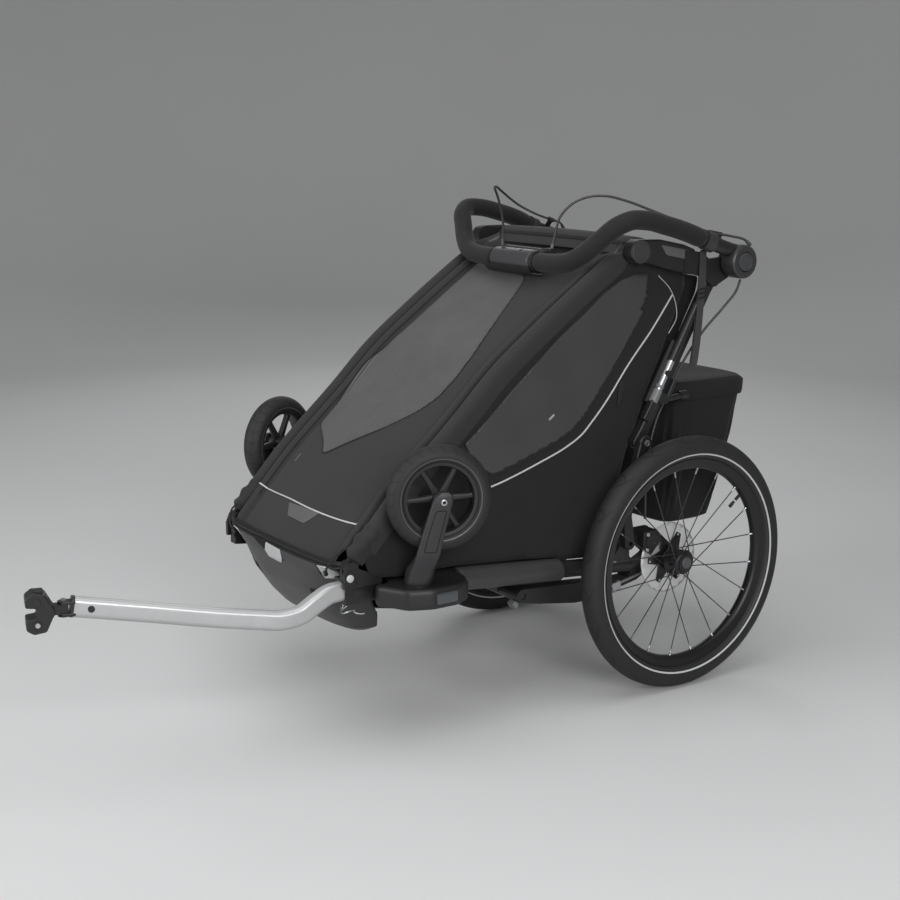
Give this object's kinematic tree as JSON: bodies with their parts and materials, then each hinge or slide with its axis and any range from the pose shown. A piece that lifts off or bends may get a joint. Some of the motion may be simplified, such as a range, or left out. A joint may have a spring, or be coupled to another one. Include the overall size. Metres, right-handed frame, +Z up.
{
  "type": "child bicycle trailer",
  "caption": "Enclosed child bicycle trailer with sprung spoked wheels, folding frame, push bar, stowed stroller wheels and a side tow arm with a swivelling hitch.",
  "frame": {"origin": "on the floor under the middle of the trailer's outer box, wheels down", "axes": "+Z up, +X to the trailer's left, -Y forward, where the tow arm points"},
  "size_m": [0.6676, 1.5346, 0.9681],
  "materials": {
    "black_metal": "satin black powder coat",
    "black_plastic": "moulded, lightly textured",
    "grey_plastic": "smooth light grey",
    "aluminium_tube": "clear anodised",
    "rotor_steel": "ground",
    "tyre_rubber": "matt",
    "cable_rubber": "smooth sleeve",
    "foam": "closed-cell foam",
    "cloth": "woven, coated inside",
    "padding": "knit over foam"
  },
  "bodies": {
    "chassis": {"left_side_rail": "black_metal", "right_side_rail": "black_metal", "left_wheel_dock": "black_plastic", "right_wheel_dock": "black_plastic", "front_bumper": "black_plastic", "floor_pan": "cloth", "suspension_beam": "black_metal", "rear_beam": "black_metal", "tow_receiver": "black_plastic", "seat_base": "padding", "seat_back": "padding", "left_side_panel": "cloth", "right_side_panel": "cloth", "rear_panel": "cloth", "cargo_bag": "cloth", "left_frame_cable": "cable_rubber", "right_frame_cable": "cable_rubber"},
    "top_frame": {"front_hoop": "black_metal", "front_cover": "cloth", "roof_panel": "cloth", "left_top_bracket": "black_plastic", "right_top_bracket": "black_plastic", "rear_cross_tube": "black_metal", "wrist_strap": "cloth"},
    "uprights": {"left_rear_upright": "black_metal", "right_rear_upright": "black_metal"},
    "struts": {"left_lower_strut": "black_metal", "right_lower_strut": "black_metal"},
    "handlebar": {"handlebar_tube": "black_metal", "left_foam_grip": "foam", "right_foam_grip": "foam", "brake_lever_housing": "black_plastic", "left_lever_cable": "cable_rubber", "right_lever_cable": "cable_rubber"},
    "brake_lever": {"brake_lever": "black_plastic"},
    "tow_arm": {"tow_arm": "aluminium_tube"},
    "hitch_neck": {"hitch_neck": "black_metal"},
    "hitch_coupler": {"hitch_coupler": "black_metal"},
    "tow_release": {"tow_release_button": "grey_plastic"},
    "brake_pedal": {"parking_brake_pedal": "black_plastic"},
    "left_latch": {"left_fold_latch": "black_plastic"},
    "left_hub_release": {"left_hub_button": "grey_plastic"},
    "left_arm": {"left_suspension_arm": "black_metal"},
    "left_wheel": {"left_rear_tyre": "tyre_rubber", "left_rear_rim": "black_metal", "left_brake_rotor": "rotor_steel"},
    "left_axle_release": {"left_axle_button": "grey_plastic"},
    "left_caster": {"left_caster_fork": "black_plastic"},
    "left_front_wheel": {"left_caster_wheel": "black_plastic", "left_caster_tyre": "tyre_rubber"},
    "right_latch": {"right_fold_latch": "black_plastic"},
    "right_hub_release": {"right_hub_button": "grey_plastic"},
    "right_arm": {"right_suspension_arm": "black_metal"},
    "right_wheel": {"right_rear_tyre": "tyre_rubber", "right_rear_rim": "black_metal", "right_brake_rotor": "rotor_steel"},
    "right_axle_release": {"right_axle_button": "grey_plastic"},
    "right_caster": {"right_caster_fork": "black_plastic"},
    "right_front_wheel": {"right_caster_wheel": "black_plastic", "right_caster_tyre": "tyre_rubber"}
  },
  "joints": [
    {"name": "frame_fold", "type": "hinge", "parent": "chassis", "child": "top_frame", "pos_m": [0, -0.2337, 0.335], "axis": [-1, 0, 0], "range_deg": [0, 27], "deforming": ["left_side_panel", "right_side_panel", "rear_panel", "seat_back", "cargo_bag", "left_frame_cable", "right_frame_cable"]},
    {"name": "upright_fold", "type": "hinge", "parent": "top_frame", "child": "uprights", "pos_m": [0, 0.5713, 0.79], "axis": [-1, 0, 0], "range_deg": [0, 53]},
    {"name": "strut_fold", "type": "hinge", "parent": "chassis", "child": "struts", "pos_m": [0, 0.3633, 0.296], "axis": [-1, 0, 0], "range_deg": [-9.7, 0]},
    {"name": "handlebar_tilt", "type": "hinge", "parent": "top_frame", "child": "handlebar", "pos_m": [0, 0.6113, 0.826], "axis": [-1, 0, 0], "range_deg": [0, 140]},
    {"name": "brake_lever_pull", "type": "hinge", "parent": "handlebar", "child": "brake_lever", "pos_m": [0, 0.2938, 0.799], "axis": [-1, 0, 0], "range_deg": [0, 4], "stiffness_Nm_per_rad": 2},
    {"name": "tow_arm_slide", "type": "slide", "parent": "chassis", "child": "tow_arm", "axis": [0, -1, 0], "range_m": [0, 0.06]},
    {"name": "hitch_yaw", "type": "hinge", "parent": "tow_arm", "child": "hitch_neck", "pos_m": [0.092, -0.704, 0.315], "axis": [0, 0, 1], "range_deg": [-40, 40]},
    {"name": "hitch_pitch", "type": "hinge", "parent": "hitch_neck", "child": "hitch_coupler", "pos_m": [0.083, -0.7337, 0.315], "axis": [0.9568, -0.2907, 0], "range_deg": [-25, 25]},
    {"name": "tow_release_press", "type": "slide", "parent": "chassis", "child": "tow_release", "axis": [-1, 0, 0], "range_m": [0, 0.003], "stiffness_N_per_m": 300},
    {"name": "brake_pedal_press", "type": "hinge", "parent": "chassis", "child": "brake_pedal", "pos_m": [0, 0.3663, 0.249], "axis": [-1, 0, 0], "range_deg": [0, 20]},
    {"name": "left_latch_flip", "type": "hinge", "parent": "uprights", "child": "left_latch", "pos_m": [0.2552, 0.4433, 0.5705], "axis": [-1, 0, 0], "range_deg": [0, 60]},
    {"name": "left_hub_press", "type": "slide", "parent": "handlebar", "child": "left_hub_release", "axis": [-1, 0, 0], "range_m": [0, 0.0025], "stiffness_N_per_m": 400},
    {"name": "left_suspension", "type": "hinge", "parent": "chassis", "child": "left_arm", "pos_m": [0.2165, 0.1313, 0.222], "axis": [1, 0, 0], "range_deg": [-2, 3], "stiffness_Nm_per_rad": 1500, "springref_deg": -0.69},
    {"name": "left_wheel_roll", "type": "hinge", "parent": "left_arm", "child": "left_wheel", "pos_m": [0.3, 0.4713, 0.25], "axis": [1, 0, 0], "continuous": true},
    {"name": "left_axle_press", "type": "slide", "parent": "left_wheel", "child": "left_axle_release", "axis": [-1, 0, 0], "range_m": [0, 0.0035], "stiffness_N_per_m": 300},
    {"name": "left_caster_swivel", "type": "hinge", "parent": "chassis", "child": "left_caster", "pos_m": [0.275, -0.1317, 0.302], "axis": [0, 0, 1], "range_deg": [-8, 28]},
    {"name": "left_front_wheel_roll", "type": "hinge", "parent": "left_caster", "child": "left_front_wheel", "pos_m": [0.288, -0.09599, 0.455], "axis": [0.9397, -0.342, 0], "continuous": true},
    {"name": "right_latch_flip", "type": "hinge", "parent": "uprights", "child": "right_latch", "pos_m": [-0.2552, 0.4433, 0.5705], "axis": [-1, 0, 0], "range_deg": [0, 60]},
    {"name": "right_hub_press", "type": "slide", "parent": "handlebar", "child": "right_hub_release", "axis": [1, 0, 0], "range_m": [0, 0.0025], "stiffness_N_per_m": 400},
    {"name": "right_suspension", "type": "hinge", "parent": "chassis", "child": "right_arm", "pos_m": [-0.2165, 0.1313, 0.222], "axis": [1, 0, 0], "range_deg": [-2, 3], "stiffness_Nm_per_rad": 1500, "springref_deg": -0.69},
    {"name": "right_wheel_roll", "type": "hinge", "parent": "right_arm", "child": "right_wheel", "pos_m": [-0.3, 0.4713, 0.25], "axis": [1, 0, 0], "continuous": true},
    {"name": "right_axle_press", "type": "slide", "parent": "right_wheel", "child": "right_axle_release", "axis": [1, 0, 0], "range_m": [0, 0.0035], "stiffness_N_per_m": 300},
    {"name": "right_caster_swivel", "type": "hinge", "parent": "chassis", "child": "right_caster", "pos_m": [-0.275, -0.1317, 0.302], "axis": [0, 0, -1], "range_deg": [-8, 28]},
    {"name": "right_front_wheel_roll", "type": "hinge", "parent": "right_caster", "child": "right_front_wheel", "pos_m": [-0.288, -0.09599, 0.455], "axis": [0.9397, 0.342, 0], "continuous": true}
  ],
  "couplings": [
    {"joint": "upright_fold", "follows": "frame_fold", "ratio": 1.9473},
    {"joint": "strut_fold", "follows": "frame_fold", "ratio": -0.35628}
  ]
}
